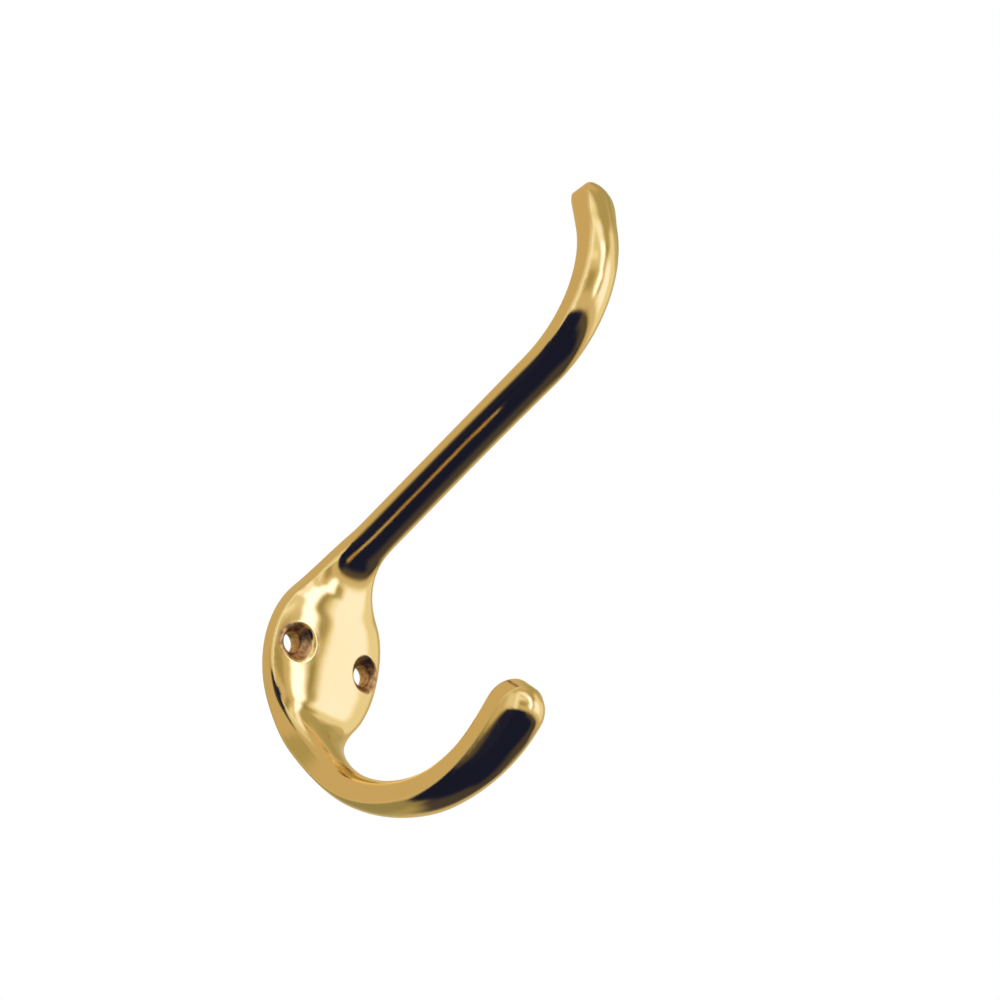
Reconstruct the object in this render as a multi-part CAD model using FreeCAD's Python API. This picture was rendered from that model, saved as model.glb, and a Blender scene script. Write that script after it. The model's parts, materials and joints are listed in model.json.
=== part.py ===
import FreeCAD, Part
import math
import os

# Double robe hook: one solid brass casting, for two countersunk wood screws.
# Millimetres. The origin is on the wall, midway between the screws.
# The front of the hook is -Y, up is +Z, and the wall is the plane Y = 0.

V = FreeCAD.Vector

# Screw holes, for a number 8 countersunk wood screw
screw_hole = 4.4
countersink_rim = 7.5
countersink_angle = 90.0
rim_rounding = 1.0

# Plate outline: a round rim that sweeps into each arm
plate_width = 29.0
rim_margin = 1.05
screw_spacing = plate_width - countersink_rim - 2 * rim_margin
plate_round = 21.0
upper_sweep = 32.3
lower_sweep = 44.2

# Rear line of the upper arm, from the plate's centre up to the tip's centre
upper_on_wall = 10.1
upper_root_radius = 19.2
upper_slope = 37.4
upper_straight = 52.2
upper_bend_radius = 23.75
upper_lean_back = 22.0
upper_end_straight = 6.8

# Rear line of the lower hook, from the plate's centre down to the tip's centre
lower_on_wall = 11.0
lower_root_radius = 15.2
lower_root_turn = 44.4
lower_bottom_radius = 41.7
lower_bottom_turn = 52.0
lower_rise_radius = 30.2
lower_rise_turn = 52.9
lower_end_straight = 1.2

# Widths across the arms
upper_root_width = 8.95
upper_bend_width = 8.7
upper_tip_width = 9.05
lower_root_width = 7.3
lower_bottom_width = 8.6
lower_tip_width = 10.85

# Height of the flat side strip, from the rear line to the front crease
plate_edge = 2.65
upper_wall_edge = 3.1
upper_root_edge = 2.4
upper_arm_edge = 2.3
upper_bend_edge = 2.8
upper_lean_edge = 3.7
upper_tip_edge = 4.4
lower_wall_edge = 3.1
lower_root_edge = 4.4
lower_bottom_edge = 3.6
lower_rise_edge = 4.0
lower_tip_edge = 4.85

# Rise of the crowned front over the side strip
plate_crown = 2.75
upper_crown = 1.6
upper_lean_crown = 2.1
upper_tip_crown = 1.5
lower_crown = 1.95

# Crowned outer face of the lower hook, which rolls over the sides near the tip
lower_outer_crown = 0.9
lower_tip_outer_crown = 4.3
lower_tip_outer_start = 1.5
lower_tip_fullness = 0.8

# Fullness of the front crown: a third is a plain parabola, more is flatter in the middle
plate_fullness = 0.8
arm_fullness = 0.55
plate_blend = 6.0

# Rounding of the long front edges, and bevel of the long rear edges
front_edge_rounding = 0.35
neck_edge_rounding = 0.8
rear_bevel = 0.3
upper_tip_bevel = 0.6
lower_tip_bevel = 0.1

# The back is ground flat by this much where it meets the wall
ground_off = 0.12

# Spacing of the cross-sections along the hook
section_step = 2.0

# How far cutting shapes run past the metal, and the height below which a curve counts as level
overrun = 1.0
level_within = 1e-6

# Halvings when a distance across is looked up on a curve
halvings = 40


def upper_bends():
    """Rear line of the upper arm as lengths, each with its turn forward in degrees."""
    root_turn = 90 - upper_slope
    bend_turn = 90 - upper_slope + upper_lean_back
    return [
        (upper_on_wall, 0.0),
        (upper_root_radius * math.radians(root_turn), root_turn),
        (upper_straight, 0.0),
        (upper_bend_radius * math.radians(bend_turn), -bend_turn),
        (upper_end_straight, 0.0),
    ]


def lower_bends():
    """Rear line of the lower hook, in the same form."""
    return [
        (lower_on_wall, 0.0),
        (lower_root_radius * math.radians(lower_root_turn), lower_root_turn),
        (lower_bottom_radius * math.radians(lower_bottom_turn), lower_bottom_turn),
        (lower_rise_radius * math.radians(lower_rise_turn), lower_rise_turn),
        (lower_end_straight, 0.0),
    ]


def marks(bends):
    """Distances at which the stretches of a rear line end."""
    ends = []
    total = 0.0
    for length, turn in bends:
        total += length
        ends.append(total)
    return ends


UPPER = marks(upper_bends())
LOWER = marks(lower_bends())


def walk(bends, distance):
    """Forward, along and turned angle after a distance on a rear line of runs and arcs."""
    forward = 0.0
    along = 0.0
    heading = 0.0
    left = distance
    for length, turn in bends:
        part = min(left, length)
        if turn == 0:
            forward += part * math.sin(heading)
            along += part * math.cos(heading)
        else:
            radius = length / math.radians(turn)
            after = heading + part / radius
            forward += radius * (math.cos(heading) - math.cos(after))
            along += radius * (math.sin(after) - math.sin(heading))
            heading = after
        left -= part
    return forward, along, heading


def frame_at(s):
    """Point on the rear line, and the direction that the front faces there.

    s is the distance from the plate's centre, plus up the upper arm and minus down the lower hook.
    """
    if s >= 0:
        forward, along, heading = walk(upper_bends(), s)
        point = V(0, ground_off - forward, along)
        front = V(0, -math.cos(heading), -math.sin(heading))
    else:
        forward, along, heading = walk(lower_bends(), -s)
        point = V(0, ground_off - forward, -along)
        front = V(0, -math.cos(heading), math.sin(heading))
    return point, front


def smooth(stations, s):
    """Smooth value at s through (distance, value) stations, level at both ends."""
    stations = sorted(stations)
    if s <= stations[0][0]:
        return stations[0][1]
    if s >= stations[-1][0]:
        return stations[-1][1]
    slopes = [0.0]
    for (s0, v0), (s1, v1), (s2, v2) in zip(stations, stations[1:], stations[2:]):
        before = (v1 - v0) / (s1 - s0)
        after = (v2 - v1) / (s2 - s1)
        slopes.append(2 * before * after / (before + after) if before * after > 0 else 0.0)
    slopes.append(0.0)
    for (s0, v0), (s1, v1), m0, m1 in zip(stations, stations[1:], slopes, slopes[1:]):
        if s <= s1:
            span = s1 - s0
            t = (s - s0) / span
            rest = 1 - t
            return (
                rest * rest * (1 + 2 * t) * v0
                + t * t * (1 + 2 * rest) * v1
                + t * rest * span * (rest * m0 - t * m1)
            )


def swept_half_width(distance, sweep, arm_half):
    """Half width of the plate, whose round rim sweeps into an arm; also where the sweep ends."""
    drop = plate_width / 2 - arm_half
    both = plate_round + sweep
    end = math.sqrt(2 * both * drop - drop * drop)
    tangent = end * plate_round / both
    if distance < tangent:
        return plate_width / 2 - plate_round + math.sqrt(plate_round ** 2 - distance ** 2), end
    if distance < end:
        return arm_half + sweep - math.sqrt(sweep ** 2 - (end - distance) ** 2), end
    return arm_half, end


def half_width(s):
    if s >= 0:
        half, end = swept_half_width(s, upper_sweep, upper_root_width / 2)
        stations = [(end, upper_root_width), (UPPER[2], upper_bend_width), (UPPER[3], upper_tip_width)]
        root = upper_root_width
    else:
        half, end = swept_half_width(-s, lower_sweep, lower_root_width / 2)
        stations = [(-end, lower_root_width), (-(end + LOWER[3]) / 2, lower_bottom_width),
                    (-LOWER[3], lower_tip_width)]
        root = lower_root_width
    return half + (smooth(stations, s) - root) / 2


def edge_height(s):
    return smooth([
        (UPPER[4], upper_tip_edge),
        (UPPER[3], upper_lean_edge),
        (UPPER[2], upper_bend_edge),
        ((UPPER[1] + UPPER[2]) / 2, upper_arm_edge),
        (UPPER[1], upper_root_edge),
        (UPPER[0], upper_wall_edge),
        (0.0, plate_edge),
        (-LOWER[0], lower_wall_edge),
        (-LOWER[1], lower_root_edge),
        (-(LOWER[1] + LOWER[2]) / 2, lower_bottom_edge),
        (-(LOWER[2] + LOWER[3]) / 2, lower_rise_edge),
        (-LOWER[4], lower_tip_edge),
    ], s)


def crown_rise(s):
    return smooth([
        (UPPER[4], upper_tip_crown),
        (UPPER[3], upper_lean_crown),
        (UPPER[2], upper_crown),
        (UPPER[1], upper_crown),
        (0.0, plate_crown),
        (-LOWER[1], lower_crown),
    ], s)


def crown_fullness(s):
    return smooth([
        (UPPER[1] + plate_blend, arm_fullness),
        (UPPER[1] - plate_blend, plate_fullness),
        (-LOWER[1] + plate_blend, plate_fullness),
        (-LOWER[1] - plate_blend, arm_fullness),
    ], s)


def outer_start(s):
    return smooth([(-LOWER[2], 0.0), (-LOWER[4], lower_tip_outer_start)], s)


def outer_rise(s):
    return smooth([
        (-LOWER[0], 0.0),
        (-(LOWER[1] + LOWER[2]) / 2, lower_outer_crown),
        (-LOWER[2], lower_outer_crown),
        (-LOWER[4], lower_tip_outer_crown),
    ], s)


def outer_fullness(s):
    return smooth([(-LOWER[2], arm_fullness), (-LOWER[4], lower_tip_fullness)], s)


def front_rounding(s):
    return smooth([
        (-LOWER[0], front_edge_rounding),
        (-LOWER[1], neck_edge_rounding),
        (-LOWER[2], front_edge_rounding),
    ], s)


def bevel(s):
    return smooth([
        (UPPER[4], upper_tip_bevel),
        (UPPER[2], rear_bevel),
        (-LOWER[2], rear_bevel),
        (-LOWER[4], lower_tip_bevel),
    ], s)


def crown_curve(half, edge, rise, fullness):
    """Crown from one side to the other, with x across the arm and y out from its rear line."""
    top = edge + 4 * rise / 3
    inner = half * fullness
    curve = Part.BezierCurve()
    curve.setPoles([V(-half, edge, 0), V(-inner, top, 0), V(inner, top, 0), V(half, edge, 0)])
    return curve


def share_at(curve, across):
    """Parameter of a crown curve at a distance across, found by halving."""
    low = 0.5
    high = 1.0
    for _ in range(halvings):
        middle = (low + high) / 2
        if curve.value(middle).x < across:
            low = middle
        else:
            high = middle
    return (low + high) / 2


def outline(s):
    """Cross-section at s as pole lists: outer face, bevel, side strip, front corner and front.

    The two faces run the whole way across, and the others are the right-hand ones.
    """
    half = half_width(s)
    outer = crown_curve(half, outer_start(s), -outer_rise(s), outer_fullness(s))
    share = share_at(outer, half - bevel(s))
    outer.segment(1 - share, share)
    low = outer.getPoles()[-1]
    low_strip = V(half, low.y + bevel(s), 0)

    front = crown_curve(half, edge_height(s), crown_rise(s), crown_fullness(s))
    share = share_at(front, half - front_rounding(s))
    slope = front.tangent(share)[0]
    front.segment(1 - share, share)
    high = front.getPoles()[-1]
    corner = V(half, high.y + slope.y / slope.x * front_rounding(s), 0)
    high_strip = V(half, corner.y - front_rounding(s), 0)
    return [
        outer.getPoles(),
        [low, low_strip],
        [low_strip, high_strip],
        [high_strip, corner, high],
        front.getPoles(),
    ]


def placed(poles, s, side):
    """Poles given as across and out, put at s on the right (side 1) or the left (side -1)."""
    point, front = frame_at(s)
    return [point + V(side * pole.x, 0, 0) + front * pole.y for pole in poles]


def long_face(places, piece, side):
    """Face along the whole hook, through one piece of the outline at every place."""
    across = [placed(outline(s)[piece], s, side) for s in places]
    rows = []
    for points in zip(*across):
        line = Part.BSplineCurve()
        line.interpolate(Points=list(points), Parameters=places)
        rows.append(line)
    degree = len(rows) - 1
    surface = Part.BSplineSurface()
    surface.buildFromPolesMultsKnots(
        [row.getPoles() for row in rows],
        [degree + 1, degree + 1],
        rows[0].getMultiplicities(),
        [0.0, 1.0],
        rows[0].getKnots(),
        False,
        False,
        degree,
        rows[0].Degree,
    )
    return surface.toShape()


def is_level(poles):
    heights = [pole.y for pole in poles]
    return max(heights) - min(heights) < level_within


def rounded_end(s, turn):
    """Faces of a half-round end: half of the last cross-section turned about the arm's middle."""
    point, front = frame_at(s)
    faces = []
    for poles in outline(s):
        curve = Part.BezierCurve()
        curve.setPoles(placed(poles, s, 1))
        if poles[0].x < 0:
            curve.segment(0.5, 1.0)
        edge = curve.toShape()
        if is_level(poles):
            edge = Part.makeLine(curve.StartPoint, curve.EndPoint)
        faces.append(edge.revolve(point, front, turn))
    return faces


def spaced(start, end, step):
    count = max(1, math.ceil((end - start) / step))
    return [start + (end - start) * i / count for i in range(count)]


def casting():
    """The whole hook before grinding and drilling, as one closed solid."""
    places = spaced(-LOWER[4], UPPER[4], section_step) + [UPPER[4]]
    faces = rounded_end(UPPER[4], 180) + rounded_end(-LOWER[4], -180)
    faces += [long_face(places, piece, 1) for piece in range(5)]
    faces += [long_face(places, piece, -1) for piece in (1, 2, 3)]
    shell = Part.makeShell(faces)
    shell.sewShape()
    solid = Part.makeSolid(shell)
    if solid.Volume < 0:
        solid.reverse()
    return solid


def screw_cut(x):
    """Screw hole with its countersink, along Y."""
    depth = plate_depth_at(x)
    radius = screw_hole / 2
    rim = countersink_rim / 2
    flare = 1 / math.tan(math.radians(countersink_angle / 2))
    small_end = depth - (rim - radius) * flare
    beyond = depth + overrun
    outline = [
        V(x, overrun, 0),
        V(x + radius, overrun, 0),
        V(x + radius, -small_end, 0),
        V(x + radius + (beyond - small_end) / flare, -beyond, 0),
        V(x, -beyond, 0),
    ]
    face = Part.Face(Part.makePolygon(outline + outline[:1]))
    return face.revolve(V(x, 0, 0), V(0, 1, 0), 360)


def plate_depth_at(x):
    """Distance of the plate's front from the wall, level with the screws."""
    curve = crown_curve(half_width(0), edge_height(0), crown_rise(0), crown_fullness(0))
    return curve.value(share_at(curve, abs(x))).y - ground_off


def is_rim(edge):
    """True for an edge where a countersink opens on the plate's front."""
    box = edge.BoundBox
    aside = abs(abs(box.Center.x) - screw_spacing / 2)
    return aside < screw_hole / 2 and abs(box.ZLength - countersink_rim) < rim_rounding


def robe_hook():
    body = casting()
    box = body.BoundBox
    box.enlarge(overrun)
    wall = Part.makeBox(box.XLength, overrun, box.ZLength, V(box.XMin, 0, box.ZMin))
    hook = body.cut(wall)
    for side in (-1, 1):
        hook = hook.cut(screw_cut(side * screw_spacing / 2))
    rims = [edge for edge in hook.Edges if is_rim(edge)]
    return hook.makeFillet(rim_rounding, rims)


os.makedirs("parts", exist_ok=True)
robe_hook().exportStep("parts/robe_hook.step")
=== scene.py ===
import json
import math

import bpy
from mathutils import Matrix, Quaternion, Vector


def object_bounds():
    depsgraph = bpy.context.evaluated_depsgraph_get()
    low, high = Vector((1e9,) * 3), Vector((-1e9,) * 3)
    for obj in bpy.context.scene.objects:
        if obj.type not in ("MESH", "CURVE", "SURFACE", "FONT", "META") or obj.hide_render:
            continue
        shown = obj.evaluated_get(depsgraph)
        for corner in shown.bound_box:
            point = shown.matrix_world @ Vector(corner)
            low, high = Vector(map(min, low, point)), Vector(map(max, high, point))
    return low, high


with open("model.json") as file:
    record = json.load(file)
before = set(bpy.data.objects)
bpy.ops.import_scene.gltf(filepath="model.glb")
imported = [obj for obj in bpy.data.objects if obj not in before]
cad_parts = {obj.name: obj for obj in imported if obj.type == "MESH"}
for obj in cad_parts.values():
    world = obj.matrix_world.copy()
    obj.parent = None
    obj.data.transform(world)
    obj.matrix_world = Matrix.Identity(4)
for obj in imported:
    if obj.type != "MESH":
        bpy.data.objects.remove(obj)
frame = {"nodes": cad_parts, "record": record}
cad_low, cad_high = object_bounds()
hook = frame["nodes"]["robe_hook"]
scene = bpy.context.scene

# Camera: the photograph's viewing angle, in degrees, and its distance in metres
camera_side = 42.3
camera_below = 23.1
camera_roll = 10.7
camera_distance = 0.4685
aim_point = Vector((0.0122, -0.0317, 0.0359))
lens_mm = 83.0
sensor_mm = 36.0

# White of the background, and the world's level where it lights the hook and the floor
white = (1.0, 1.0, 1.0)
room_level = 0.75

# Polished brass. Noise scales are per metre, each range is the part of the noise between its two
# looks, and polish is the lowest and highest roughness
brass_colour = (0.92, 0.73, 0.40)
brass_deep_colour = (0.88, 0.67, 0.34)
tone_scale = 55
tone_detail = 3
polish = (0.05, 0.11)
buffing_scale = 900
buffing_stretch = 0.12
buffing_detail = 5
buffing_range = (0.3, 0.7)
wave_scale = 140
wave_detail = 1
wave_height = 0.000006
crease_softness = 0.0006
crease_samples = 12

# The shading of the broad faces is evened over this width. It is evened whole where that turns it by
# less than the first cosine's angle, and not at all where it turns it by more than the second's
face_evening = 0.0028
evening_whole = 0.9992
evening_none = 0.993

# Wear along the edges: none where softening over this width turns the shading by less than the first
# cosine's angle, and full where it turns it by more than the second's
wear_width = 0.0012
wear_none = 0.995
wear_full = 0.94
wear_colour = (0.95, 0.79, 0.48)
wear_roughness = 0.26

# Tarnish inside the screw holes and their countersinks: full within the inner distance from a hole's
# axis, none past the outer, none at the back as far as its start, and full from its depth on
screws = frame["record"]["mounts"][0]["dims"]
hole_offset = screws["spacing_x_mm"] / 2 / 1000
tarnish_inner = 0.0036
tarnish_outer = 0.0041
tarnish_start = 0.0001
tarnish_depth = 0.0006
tarnish_colour = (0.80, 0.50, 0.27)
tarnish_dark_colour = (0.30, 0.18, 0.12)
tarnish_scale = 900
tarnish_detail = 4
tarnish_range = (0.35, 0.65)
tarnish_roughness = 0.38

# Light tent round the hook, seen only in its reflections: a sphere cut flat below. Angles are in
# degrees, with 0 straight in front and the right side positive. Each patch is left, right, low and
# high, its softness and its level, and later patches lie over earlier ones
tent_radius = 3.0
tent_segments = 96
tent_rings = 48
tent_depth = 0.6
tent_strength = 2.2
full_turn = 360.0
tent_patches = [
    (-400, 400, -400, 400, 2, 0.50),
    (-45, 62, 22, 61, 8, 0.70),
    (-40, -8, 27, 33, 3, 0.88),
    (-80, -45, -8, 50, 10, 0.72),
    (-43, 30, -40, 18, 4, 0.55),
    (-30, -1, 3, 18, 4, 0.34),
    (-46, -34, -30, 58, 3, 0.95),
    (28, 90, -1, 30, 3, 0.78),
    (28, 75, 0, 30, 8, 0.90),
    (28, 75, -16, -1, 4, 0.58),
    (75, 95, -16, -1, 4, 0.50),
    (30, 46, 31, 48, 4, 0.50),
    (78, 95, 31, 46, 5, 0.48),
    (80, 130, 45, 72, 5, 0.34),
    (95, 130, 30, 46, 6, 0.40),
]

# Curved bands laid over the patches: height, left and right edge at each knot, softness and level
tent_bands = [
    ([(0, 28, 88), (15, 28, 84), (25, 29, 78), (36, 42, 72), (48, 50, 72)], 4, 0.78),
    ([(2, 32, 62), (22, 32, 58), (30, 38, 52)], 5, 1.06),
    ([(38, -2, 15), (48, -24, 9), (60, -38, 2)], 5, 0.98),
    ([(38, 18, 42), (48, 15, 46), (58, 8, 90), (68, -20, 110)], 5, 0.38),
    ([(5, 22, 30), (13, 24, 32), (18, 25, 33), (23, 21, 29), (32, 22, 32), (40, 22, 38)], 3.5, 0.29),
    (
        [(1, 12, 20), (8, 11, 21), (13, 12, 23), (18, 13, 25), (23, 10, 20), (32, 8, 21), (41, 0, 18)],
        4,
        1.75,
    ),
]

# Dark ground below this height, on the dark side of a straight edge, which is given by the side angle
# and height at the middle of its dark side, and its softness. The ground's patches lie over it
ground_top = -12.5
ground_top_softness = 1.5
ground_level = 0.03
ground_edge = (8, -35)
ground_edge_softness = 6
ground_patches = [
    (-102, -82, -45, -12, 6, 0.09),
    (-82, -40, -62, -17, 7, 0.035),
    (10, 64, -23, -12, 5, 0.09),
    (60, 106, -44, -14, 9, 0.07),
    (92, 104, -22, -4, 4, 0.17),
    (-400, -152, -56, -10, 8, 0.27),
    (139, 400, -56, -6, 7, 0.27),
    (104, 136, -56, -20, 6, 0.07),
    (-126, -108, -14, 8, 6, 0.37),
]

# Colour of the tent at each level, black to brightest
tent_tones = [
    (0.0, (0.0, 0.0, 0.0)),
    (0.03, (0.008, 0.012, 0.056)),
    (0.06, (0.05, 0.048, 0.06)),
    (0.10, (0.12, 0.095, 0.07)),
    (0.14, (0.165, 0.15, 0.11)),
    (0.33, (0.41, 0.36, 0.16)),
    (0.42, (0.50, 0.43, 0.22)),
    (0.50, (0.64, 0.51, 0.28)),
    (0.60, (0.70, 0.63, 0.42)),
    (0.84, (0.95, 0.92, 0.69)),
    (0.90, (1.02, 1.01, 0.84)),
    (1.0, (1.09, 1.11, 1.24)),
    (1.5, (1.8, 1.8, 2.2)),
]

# Floor: how far it lies below the hook, its size and paint, and the glow that lifts it where it is seen
floor_drop = 0.6
floor_radius = 40.0
floor_corners = 128
floor_colour = (0.86, 0.86, 0.86)
floor_roughness = 0.9
floor_lift = 0.3

# Places of a Mix node's sockets for vectors and for colours
mix_vectors_in = (4, 5)
mix_vector_out = 1
mix_colours_in = (6, 7)
mix_colour_out = 2


def add_camera():
    """Camera at the photograph's viewing angle. It stands to the left of the hook, in front and below."""
    side = math.radians(camera_side)
    below = math.radians(camera_below)
    flat = math.cos(below)
    back = Vector((-flat * math.sin(side), -flat * math.cos(side), -math.sin(below)))
    turn = back.to_track_quat("Z", "Y") @ Quaternion((0, 0, 1), math.radians(camera_roll))
    camera = bpy.data.objects.new("camera", bpy.data.cameras.new("camera"))
    camera.data.lens = lens_mm
    camera.data.sensor_width = sensor_mm
    place = Matrix.Translation(aim_point + back * camera_distance)
    camera.matrix_world = place @ turn.to_matrix().to_4x4()
    scene.collection.objects.link(camera)
    scene.camera = camera


def new_material(name):
    """Material with nodes, then its nodes and its links."""
    material = bpy.data.materials.new(name)
    material.use_nodes = True
    return material, material.node_tree.nodes, material.node_tree.links


def seen_background(nodes, links):
    """1 for camera, glossy and transmission rays, 0 for the rays that light the scene."""
    path = nodes.new("ShaderNodeLightPath")
    total = path.outputs["Is Camera Ray"]
    for name in ("Is Glossy Ray", "Is Transmission Ray"):
        total = math_node(nodes, links, "MAXIMUM", total, path.outputs[name])
    return total


def add_world():
    """White where it is seen, and a plain level where it gives light."""
    world = bpy.data.worlds.new("studio")
    world.use_nodes = True
    nodes = world.node_tree.nodes
    links = world.node_tree.links
    back = nodes["Background"]
    back.inputs["Color"].default_value = (*white, 1)
    level = nodes.new("ShaderNodeMapRange")
    level.inputs["To Min"].default_value = room_level
    level.inputs["To Max"].default_value = 1.0
    links.new(seen_background(nodes, links), level.inputs["Value"])
    links.new(level.outputs["Result"], back.inputs["Strength"])
    scene.world = world


def math_node(nodes, links, operation, *values):
    """Result of a Math node. Each value is a socket or a number."""
    node = nodes.new("ShaderNodeMath")
    node.operation = operation
    for socket, value in zip(node.inputs, values):
        if isinstance(value, (int, float)):
            socket.default_value = value
        else:
            links.new(value, socket)
    return node.outputs[0]


def soft_step(nodes, links, value, start, end):
    """0 before start, 1 after end, and smooth between them."""
    node = nodes.new("ShaderNodeMapRange")
    node.interpolation_type = "SMOOTHSTEP"
    links.new(value, node.inputs["Value"])
    node.inputs["From Min"].default_value = start
    node.inputs["From Max"].default_value = end
    return node.outputs["Result"]


def within(nodes, links, share, value, start, end):
    """A share, kept where the value is past a soft step and brought to 0 where it isn't."""
    return math_node(nodes, links, "MULTIPLY", share, soft_step(nodes, links, value, start, end))


def add_patches(nodes, links, side, height, level, patches):
    """The level with soft-edged patches of other levels laid over it, one after another."""
    for left, right, low, high, soft, value in patches:
        share = soft_step(nodes, links, side, left - soft, left + soft)
        share = within(nodes, links, share, side, right + soft, right - soft)
        share = within(nodes, links, share, height, low - soft, low + soft)
        share = within(nodes, links, share, height, high + soft, high - soft)
        level = blend(nodes, links, share, level, value)
    return level


def add_bands(nodes, links, side, height, level, bands):
    """The level with curved bands laid over it.

    A ramp gives each band's edges by height: its red is the left edge and its green the right edge,
    as shares of a full turn that starts straight behind.
    """
    for knots, soft, value in bands:
        low = knots[0][0]
        high = knots[-1][0]
        along = nodes.new("ShaderNodeMapRange")
        links.new(height, along.inputs["Value"])
        along.inputs["From Min"].default_value = low
        along.inputs["From Max"].default_value = high
        stops = []
        for at, left, right in knots:
            colour = (left / full_turn + 0.5, right / full_turn + 0.5, 0)
            stops.append(((at - low) / (high - low), colour))
        edges = ramp(nodes, links, along.outputs["Result"], stops)
        edges.node.color_ramp.interpolation = "CARDINAL"
        split = nodes.new("ShaderNodeSeparateColor")
        links.new(edges, split.inputs[0])
        left = math_node(nodes, links, "MULTIPLY_ADD", split.outputs["Red"], full_turn, -full_turn / 2)
        right = math_node(nodes, links, "MULTIPLY_ADD", split.outputs["Green"], full_turn, -full_turn / 2)
        from_left = math_node(nodes, links, "SUBTRACT", side, left)
        from_right = math_node(nodes, links, "SUBTRACT", right, side)
        share = soft_step(nodes, links, from_left, -soft, soft)
        share = within(nodes, links, share, from_right, -soft, soft)
        share = within(nodes, links, share, height, low - soft, low + soft)
        share = within(nodes, links, share, height, high + soft, high - soft)
        level = blend(nodes, links, share, level, value)
    return level


def ramp(nodes, links, value, stops):
    """Colour by value, from places and colours in order."""
    node = nodes.new("ShaderNodeValToRGB")
    node.color_ramp.elements.remove(node.color_ramp.elements[1])
    for number, (at, colour) in enumerate(stops):
        if number == 0:
            stop = node.color_ramp.elements[0]
            stop.position = at
        else:
            stop = node.color_ramp.elements.new(at)
        stop.color = (*colour, 1)
    links.new(value, node.inputs["Fac"])
    return node.outputs["Color"]


def blend(nodes, links, share, first, second):
    """Number between two others, each a socket or a number."""
    mix = nodes.new("ShaderNodeMix")
    links.new(share, mix.inputs["Factor"])
    for value, name in ((first, "A"), (second, "B")):
        if isinstance(value, (int, float)):
            mix.inputs[name].default_value = value
        else:
            links.new(value, mix.inputs[name])
    return mix.outputs["Result"]


def colour_blend(nodes, links, share, first, second):
    """Colour between two others, each a socket or three numbers.

    A Mix node's sockets for numbers, vectors and colours share their names, so those for colours and
    vectors are told apart by their places.
    """
    mix = nodes.new("ShaderNodeMix")
    mix.data_type = "RGBA"
    links.new(share, mix.inputs["Factor"])
    for value, number in zip((first, second), mix_colours_in):
        if isinstance(value, tuple):
            mix.inputs[number].default_value = (*value, 1)
        else:
            links.new(value, mix.inputs[number])
    return mix.outputs[mix_colour_out]


def noise(nodes, links, place, scale, detail, stretch=1.0):
    """Noise from 0 to 1, drawn out along the height where stretch is below 1."""
    mapping = nodes.new("ShaderNodeMapping")
    mapping.inputs["Scale"].default_value = (1, 1, stretch)
    links.new(place, mapping.inputs["Vector"])
    grain = nodes.new("ShaderNodeTexNoise")
    grain.inputs["Scale"].default_value = scale
    grain.inputs["Detail"].default_value = detail
    links.new(mapping.outputs["Vector"], grain.inputs["Vector"])
    return grain.outputs["Fac"]


def hole_share(nodes, links, place):
    """1 inside the screw holes and their countersinks, 0 on the rest of the hook."""
    split = nodes.new("ShaderNodeSeparateXYZ")
    links.new(place, split.inputs[0])
    aside = math_node(nodes, links, "ABSOLUTE", split.outputs["X"])
    aside = math_node(nodes, links, "SUBTRACT", aside, hole_offset)
    across = math_node(nodes, links, "POWER", aside, 2.0)
    up = math_node(nodes, links, "POWER", split.outputs["Z"], 2.0)
    distance = math_node(nodes, links, "SQRT", math_node(nodes, links, "ADD", across, up))
    inside = soft_step(nodes, links, distance, tarnish_outer, tarnish_inner)
    off_back = soft_step(nodes, links, split.outputs["Y"], -tarnish_start, -tarnish_depth)
    return math_node(nodes, links, "MULTIPLY", inside, off_back)


def softened_edges(nodes, links, width):
    """Shading normal with the edges softened over the given width."""
    node = nodes.new("ShaderNodeBevel")
    node.samples = crease_samples
    node.inputs["Radius"].default_value = width
    return node.outputs["Normal"]


def turned_share(nodes, links, normal, none, full):
    """0 where a normal is within one cosine's angle of the surface's own, 1 past the other's."""
    facing = nodes.new("ShaderNodeVectorMath")
    facing.operation = "DOT_PRODUCT"
    links.new(normal, facing.inputs[0])
    links.new(nodes.new("ShaderNodeNewGeometry").outputs["Normal"], facing.inputs[1])
    return soft_step(nodes, links, facing.outputs["Value"], none, full)


def even_normal(nodes, links):
    """Shading normal: evened on the broad faces, and only softened along the edges."""
    wide = softened_edges(nodes, links, face_evening)
    mix = nodes.new("ShaderNodeMix")
    mix.data_type = "VECTOR"
    links.new(turned_share(nodes, links, wide, evening_whole, evening_none), mix.inputs["Factor"])
    links.new(wide, mix.inputs[mix_vectors_in[0]])
    links.new(softened_edges(nodes, links, crease_softness), mix.inputs[mix_vectors_in[1]])
    return mix.outputs[mix_vector_out]


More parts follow.
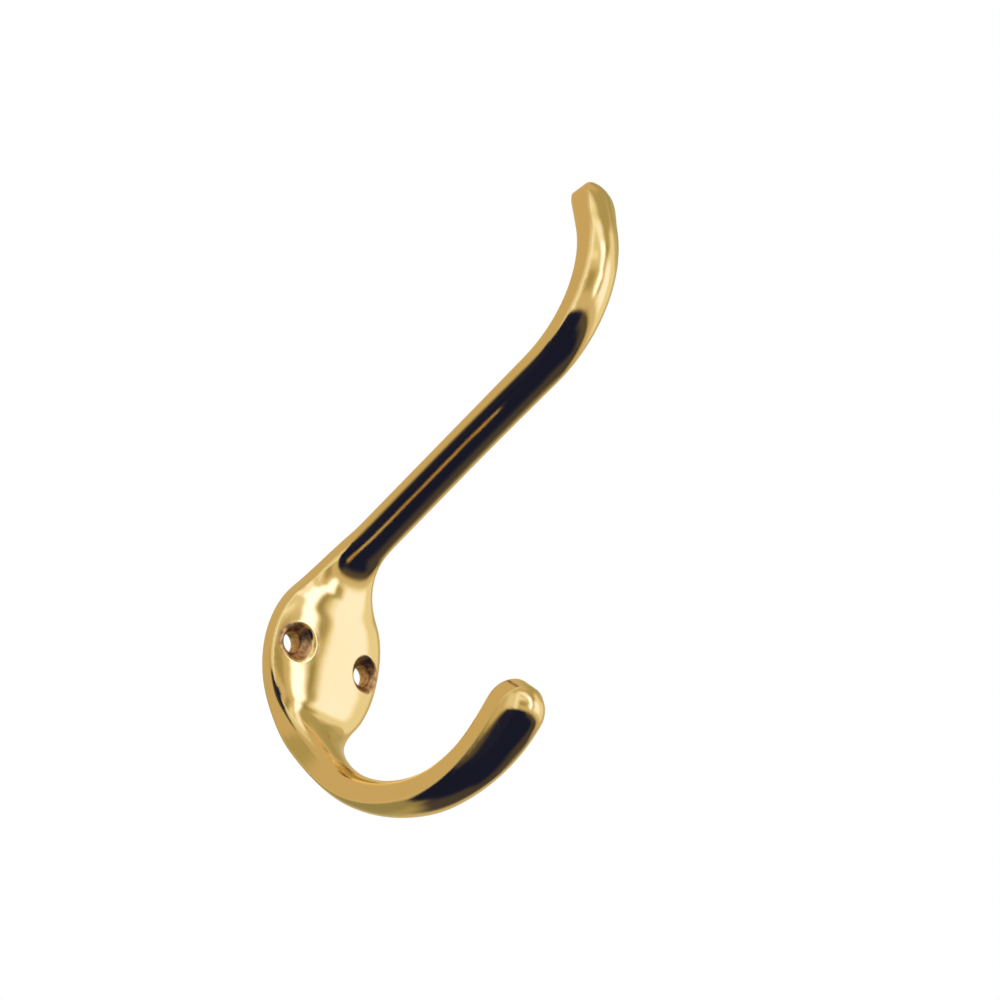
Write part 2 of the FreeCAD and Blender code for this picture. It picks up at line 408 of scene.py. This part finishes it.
def polished_brass():
    """Buffed brass with slight waves and fine marks, worn at the edges and tarnished in the holes."""
    material, nodes, links = new_material("polished_brass")
    brass = nodes["Principled BSDF"]
    brass.inputs["Metallic"].default_value = 1.0
    place = nodes.new("ShaderNodeTexCoord").outputs["Object"]
    holes = hole_share(nodes, links, place)
    edges = turned_share(nodes, links, softened_edges(nodes, links, wear_width), wear_none, wear_full)
    tone = noise(nodes, links, place, tone_scale, tone_detail)
    tone = colour_blend(nodes, links, tone, brass_colour, brass_deep_colour)
    tone = colour_blend(nodes, links, edges, tone, wear_colour)
    patina = noise(nodes, links, place, tarnish_scale, tarnish_detail)
    patina = soft_step(nodes, links, patina, *tarnish_range)
    patina = colour_blend(nodes, links, patina, tarnish_dark_colour, tarnish_colour)
    links.new(colour_blend(nodes, links, holes, tone, patina), brass.inputs["Base Color"])
    marks = noise(nodes, links, place, buffing_scale, buffing_detail, buffing_stretch)
    marks = soft_step(nodes, links, marks, *buffing_range)
    marks = blend(nodes, links, marks, *polish)
    marks = blend(nodes, links, edges, marks, wear_roughness)
    links.new(blend(nodes, links, holes, marks, tarnish_roughness), brass.inputs["Roughness"])
    waves = nodes.new("ShaderNodeBump")
    waves.inputs["Distance"].default_value = wave_height
    links.new(noise(nodes, links, place, wave_scale, wave_detail), waves.inputs["Height"])
    links.new(even_normal(nodes, links), waves.inputs["Normal"])
    links.new(waves.outputs["Normal"], brass.inputs["Normal"])
    return material


def toward(side_angle, height_angle):
    """Unit vector for a direction in degrees."""
    side = math.radians(side_angle)
    height = math.radians(height_angle)
    return Vector((math.sin(side) * math.cos(height), -math.cos(side) * math.cos(height), math.sin(height)))


def tent_material():
    """Light of the tent by direction: patches and bands of light, and dark ground below."""
    material, nodes, links = new_material("tent")
    material.cycles.emission_sampling = "NONE"
    nodes.remove(nodes["Principled BSDF"])
    place = nodes.new("ShaderNodeTexCoord").outputs["Object"]
    unit = nodes.new("ShaderNodeVectorMath")
    unit.operation = "NORMALIZE"
    links.new(place, unit.inputs[0])
    split = nodes.new("ShaderNodeSeparateXYZ")
    links.new(unit.outputs[0], split.inputs[0])
    front = math_node(nodes, links, "MULTIPLY", split.outputs["Y"], -1.0)
    side = math_node(nodes, links, "DEGREES", math_node(nodes, links, "ARCTAN2", split.outputs["X"], front))
    height = math_node(nodes, links, "DEGREES", math_node(nodes, links, "ARCSINE", split.outputs["Z"]))
    level = add_patches(nodes, links, side, height, 0.0, tent_patches)
    level = add_bands(nodes, links, side, height, level, tent_bands)
    facing = nodes.new("ShaderNodeVectorMath")
    facing.operation = "DOT_PRODUCT"
    links.new(unit.outputs[0], facing.inputs[0])
    facing.inputs[1].default_value = toward(*ground_edge)
    reach = math.sin(math.radians(ground_edge_softness))
    top = ground_top + ground_top_softness
    foot = ground_top - ground_top_softness
    ground = soft_step(nodes, links, height, top, foot)
    ground = within(nodes, links, ground, facing.outputs["Value"], -reach, reach)
    level = blend(nodes, links, ground, level, ground_level)
    level = add_patches(nodes, links, side, height, level, ground_patches)
    stops = []
    for at, colour in tent_tones:
        stops.append((at / tent_strength, [part / tent_strength for part in colour]))
    tone = ramp(nodes, links, math_node(nodes, links, "DIVIDE", level, tent_strength), stops)
    glow = nodes.new("ShaderNodeEmission")
    glow.inputs["Strength"].default_value = tent_strength
    links.new(tone, glow.inputs["Color"])
    links.new(glow.outputs[0], nodes["Material Output"].inputs["Surface"])
    return material


def add_tent():
    """Light tent that only the hook's reflections show."""
    bpy.ops.mesh.primitive_uv_sphere_add(segments=tent_segments, ring_count=tent_rings,
                                         radius=tent_radius, location=(cad_low + cad_high) / 2)
    tent = bpy.context.object
    tent.name = "tent"
    for corner in tent.data.vertices:
        corner.co.z = max(corner.co.z, -tent_depth)
    tent.data.materials.append(tent_material())
    tent.visible_camera = False
    tent.visible_diffuse = False
    tent.visible_transmission = False
    tent.visible_shadow = False


def add_floor():
    """Wide pale disc below the hook, lifted a little where it is seen."""
    bpy.ops.mesh.primitive_circle_add(vertices=floor_corners, radius=floor_radius, fill_type="NGON",
                                      location=(0, 0, cad_low.z - floor_drop))
    floor = bpy.context.object
    floor.name = "floor"
    material, nodes, links = new_material("floor")
    material.cycles.emission_sampling = "NONE"
    paint = nodes["Principled BSDF"]
    paint.inputs["Base Color"].default_value = (*floor_colour, 1)
    paint.inputs["Roughness"].default_value = floor_roughness
    paint.inputs["Emission Color"].default_value = (*white, 1)
    links.new(math_node(nodes, links, "MULTIPLY", seen_background(nodes, links), floor_lift),
              paint.inputs["Emission Strength"])
    floor.data.materials.append(material)


add_camera()
add_world()
add_floor()
add_tent()
hook.data.materials.clear()
hook.data.materials.append(polished_brass())
scene.view_settings.view_transform = "Standard"
